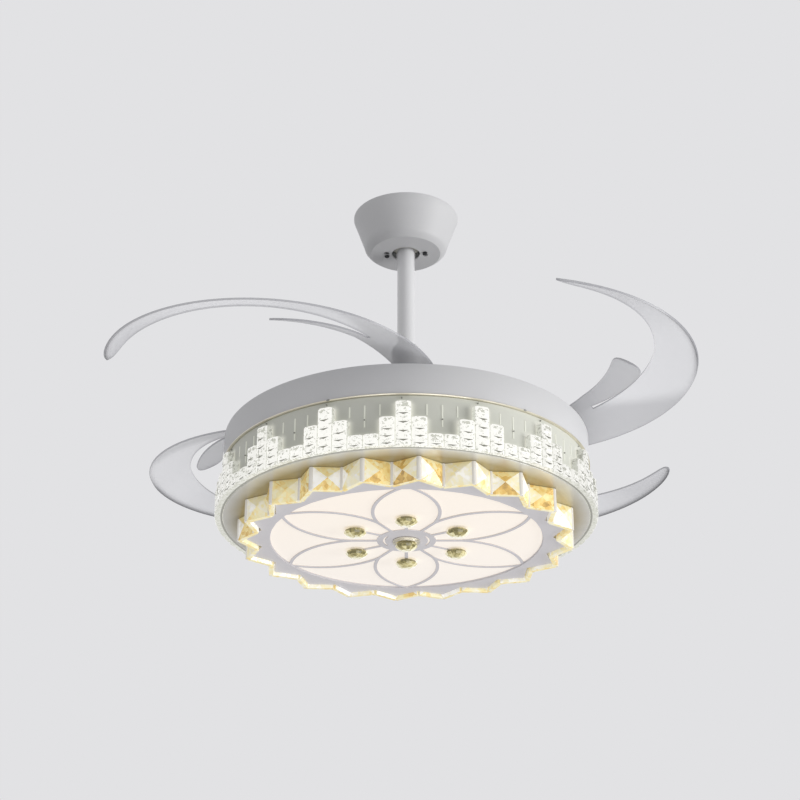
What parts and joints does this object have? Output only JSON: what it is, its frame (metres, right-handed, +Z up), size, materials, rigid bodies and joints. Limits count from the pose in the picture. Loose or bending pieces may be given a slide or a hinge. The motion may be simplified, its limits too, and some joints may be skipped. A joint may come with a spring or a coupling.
{
  "type": "retractable blade ceiling fan",
  "caption": "Ceiling fan with a lit crystal drum and curved two-pronged blades that fold back over the drum when it stops.",
  "frame": {"origin": "centre of the bracket's face that lies on the ceiling", "axes": "+Z up into the ceiling, -Y towards the picture's viewer, +X to the viewer's right"},
  "size_m": [0.7826, 0.7826, 0.5186],
  "materials": {
    "white_paint": "satin white",
    "zinc_steel": "zinc plated",
    "bright_steel": "ground",
    "silicon_steel": "laminated",
    "copper_wire": "enamelled",
    "ferrite": "matt",
    "nylon": "moulded",
    "control_plastic": "moulded",
    "smoky_acrylic": "polished",
    "spun_aluminium": "mill finish",
    "cast_aluminium": "white powder coat",
    "gold_trim": "gold anodised",
    "clear_acrylic": "faceted, polished",
    "frosted_acrylic": "satin",
    "silver_plate": "metallic silver",
    "amber_glass": "faceted, polished",
    "grey_frame": "satin grey",
    "opal_acrylic": "lit from behind",
    "champagne_glass": "faceted, polished",
    "led_board": "white resist"
  },
  "bodies": {
    "ceiling_fixing": {"ceiling_bracket": "zinc_steel", "canopy": "white_paint", "canopy_screw_1": "bright_steel", "canopy_screw_2": "bright_steel", "terminal_block": "nylon"},
    "hanging_body": {"hanger_ball": "nylon", "ball_cross_pin": "bright_steel", "downrod": "white_paint", "coupling_cover": "white_paint", "rod_coupler": "zinc_steel", "coupler_bolt": "bright_steel", "motor_shaft": "bright_steel", "stator_core": "silicon_steel", "upper_winding": "copper_wire", "lower_winding": "copper_wire", "lamp_flange": "zinc_steel", "lamp_pan": "spun_aluminium", "shaft_nut": "bright_steel", "led_driver": "control_plastic", "remote_receiver": "control_plastic", "drum_ring": "white_paint", "gold_trim": "gold_trim", "crystal_backing": "frosted_acrylic", "skyline_crystals": "clear_acrylic", "wall_led_strip": "led_board", "bottom_plate": "silver_plate", "amber_crystals": "amber_glass", "lamp_tray": "spun_aluminium", "led_board": "led_board", "diffuser": "opal_acrylic", "petal_frame": "grey_frame", "crystal_stud_1": "champagne_glass", "crystal_stud_2": "champagne_glass", "crystal_stud_3": "champagne_glass", "crystal_stud_4": "champagne_glass", "crystal_stud_5": "champagne_glass", "crystal_stud_6": "champagne_glass", "centre_ring": "gold_trim", "centre_crystal": "champagne_glass"},
    "rotor": {"rotor_upper_shell": "cast_aluminium", "rotor_lower_shell": "cast_aluminium", "magnet_ring": "ferrite", "upper_bearing": "bright_steel", "lower_bearing": "bright_steel", "blade_carrier": "spun_aluminium", "pivot_rivet_1": "bright_steel", "pivot_rivet_2": "bright_steel", "pivot_rivet_3": "bright_steel", "pivot_rivet_4": "bright_steel"},
    "timing_gear": {"timing_gear": "nylon"},
    "blade_1": {"blade_1": "smoky_acrylic", "return_spring_1": "bright_steel"},
    "blade_2": {"blade_2": "smoky_acrylic", "return_spring_2": "bright_steel"},
    "blade_3": {"blade_3": "smoky_acrylic", "return_spring_3": "bright_steel"},
    "blade_4": {"blade_4": "smoky_acrylic", "return_spring_4": "bright_steel"}
  },
  "joints": [
    {"name": "hanger_swing", "type": "hinge", "parent": "ceiling_fixing", "child": "hanging_body", "pos_m": [0, 0, -0.031], "axis": [1, 0, 0], "range_deg": [-12, 12]},
    {"name": "rotor_spin", "type": "hinge", "parent": "hanging_body", "child": "rotor", "pos_m": [0, 0, -0.339], "axis": [0, 0, 1], "continuous": true},
    {"name": "blade_fold_1", "type": "hinge", "parent": "rotor", "child": "blade_1", "pos_m": [0.17995, 0.00432, -0.35], "axis": [0, 0, -1], "range_deg": [0, 81.25]},
    {"name": "blade_fold_2", "type": "hinge", "parent": "rotor", "child": "blade_2", "pos_m": [-0.00432, 0.17995, -0.35], "axis": [0, 0, -1], "range_deg": [0, 81.25]},
    {"name": "blade_fold_3", "type": "hinge", "parent": "rotor", "child": "blade_3", "pos_m": [-0.17995, -0.00432, -0.35], "axis": [0, 0, -1], "range_deg": [0, 81.25]},
    {"name": "blade_fold_4", "type": "hinge", "parent": "rotor", "child": "blade_4", "pos_m": [0.00432, -0.17995, -0.35], "axis": [0, 0, -1], "range_deg": [0, 81.25]},
    {"name": "timing_gear_turn", "type": "hinge", "parent": "rotor", "child": "timing_gear", "pos_m": [0, 0, -0.358], "axis": [0, 0, -1], "range_deg": [-16.3, 0]}
  ],
  "couplings": [
    {"joint": "blade_fold_2", "follows": "blade_fold_1", "ratio": 1},
    {"joint": "blade_fold_3", "follows": "blade_fold_1", "ratio": 1},
    {"joint": "blade_fold_4", "follows": "blade_fold_1", "ratio": 1},
    {"joint": "timing_gear_turn", "follows": "blade_fold_1", "ratio": -0.2}
  ]
}
